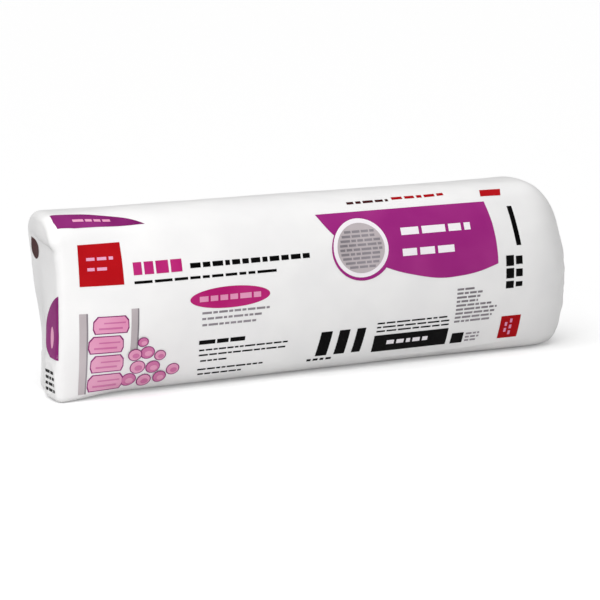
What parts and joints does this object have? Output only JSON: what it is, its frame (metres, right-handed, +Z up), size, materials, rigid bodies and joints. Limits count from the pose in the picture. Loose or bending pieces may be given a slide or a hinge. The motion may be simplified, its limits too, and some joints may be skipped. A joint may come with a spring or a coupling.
{
  "type": "bagged insulation batt pack",
  "caption": "Long pillow-shaped pack of faced insulation batts in a tight printed white film bag, folded shut at its ends, resting on one narrow side.",
  "frame": {"origin": "on the ground, under the middle of the pack's bounding box", "axes": "+X along the pack towards its rounder end, -Y out of the printed front, +Z up"},
  "size_m": [1.247, 0.2304, 0.3742],
  "materials": {
    "film": "white polyethylene film, printed, soft gloss, with fine pull lines and folds",
    "wool": "matt pink glass wool, squeezed",
    "facing": "brown kraft paper facing, matt"
  },
  "bodies": {
    "root": {"film_bag": "film", "batt_01": "wool", "batt_02": "wool", "batt_03": "wool", "batt_04": "wool", "batt_05": "wool", "batt_06": "wool", "batt_07": "wool", "batt_08": "wool", "paper_facing_01": "facing", "paper_facing_02": "facing", "paper_facing_03": "facing", "paper_facing_04": "facing", "paper_facing_05": "facing", "paper_facing_06": "facing", "paper_facing_07": "facing", "paper_facing_08": "facing"}
  },
  "joints": []
}
